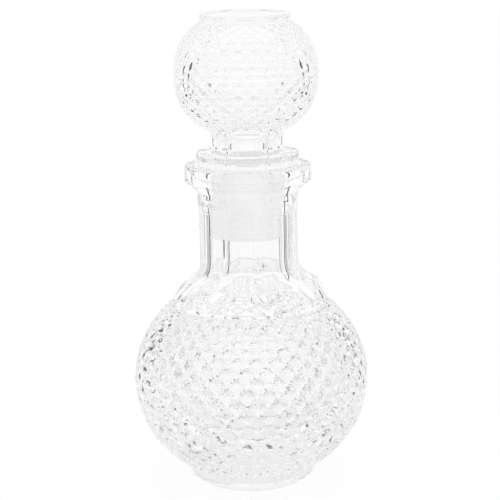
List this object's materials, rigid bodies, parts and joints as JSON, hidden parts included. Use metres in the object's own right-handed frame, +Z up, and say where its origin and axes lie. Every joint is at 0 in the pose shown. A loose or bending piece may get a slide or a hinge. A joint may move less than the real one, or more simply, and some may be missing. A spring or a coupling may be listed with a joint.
{
  "type": "whiskey decanter",
  "caption": "Round clear-glass decanter with a diamond-moulded bowl, a panelled neck and a hollow ball stopper in a ribbed sealing sleeve.",
  "frame": {"origin": "middle of the foot, on the surface that the decanter stands on", "axes": "+Z up along the decanter's turning axis; -Y is the side that the picture shows"},
  "size_m": [0.1102, 0.1102, 0.2224],
  "materials": {
    "bottle_glass": "clear moulded glass, fire polished, with raised diamonds on the bowl",
    "stopper_glass": "clear moulded glass, fire polished, with raised diamonds on the ball",
    "sleeve_plastic": "translucent frosted soft plastic with turned sealing ribs"
  },
  "bodies": {
    "bottle": {"bottle": "bottle_glass"},
    "sleeve": {"seal_sleeve": "sleeve_plastic"},
    "stopper": {"stopper": "stopper_glass"}
  },
  "joints": [
    {"name": "stopper_lift", "type": "slide", "parent": "bottle", "child": "sleeve", "axis": [0, 0, 1], "range_m": [0, 0.12]},
    {"name": "stopper_twist", "type": "hinge", "parent": "sleeve", "child": "stopper", "pos_m": [0, 0, 0.1547], "axis": [0, 0, 1], "continuous": true}
  ]
}
